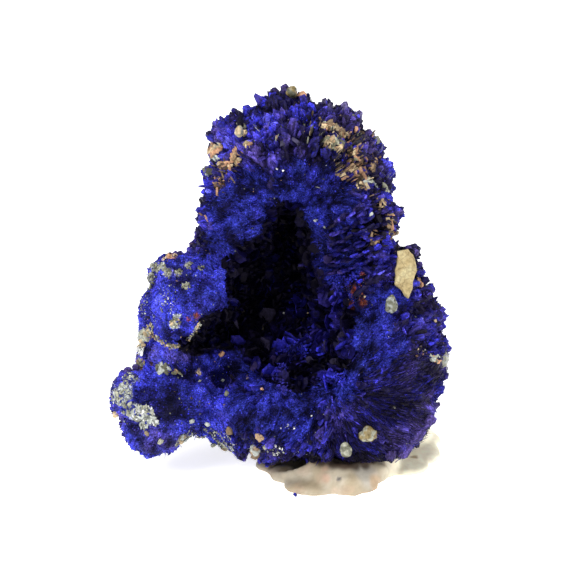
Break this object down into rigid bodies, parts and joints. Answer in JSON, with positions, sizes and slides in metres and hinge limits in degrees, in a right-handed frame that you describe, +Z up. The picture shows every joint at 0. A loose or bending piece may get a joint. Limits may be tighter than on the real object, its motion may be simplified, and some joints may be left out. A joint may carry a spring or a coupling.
{
  "type": "azurite specimen",
  "caption": "Deep blue azurite nodule covered with radiating bladed crystals round a dark crystal-lined hollow, leaning on a low pad of display putty.",
  "frame": {"origin": "middle of the putty pad's flat underside, on the surface it rests on", "axes": "+Z up, -Y towards the side that the hollow opens to, +X to the right when facing the hollow"},
  "size_m": [0.0357, 0.0272, 0.0378],
  "materials": {
    "azurite": "matt to silky crystal",
    "cavity_azurite": "glossy crystal faces",
    "pale_mineral": "waxy, slightly translucent",
    "cream_rock": "matt",
    "putty": "soft satin"
  },
  "bodies": {
    "root": {"azurite_cluster": "azurite", "cavity_crystals": "cavity_azurite", "cream_chip": "cream_rock", "pale_grain_bottom_left": "pale_mineral", "pale_grain_crown_left": "pale_mineral", "pale_grain_crown_right": "pale_mineral", "pale_grain_lower_middle": "pale_mineral", "pale_grain_lower_right": "pale_mineral", "pale_grain_peak": "pale_mineral", "pale_grain_right_edge": "pale_mineral", "pale_grain_shoulder": "pale_mineral", "putty_pad": "putty"}
  },
  "joints": []
}
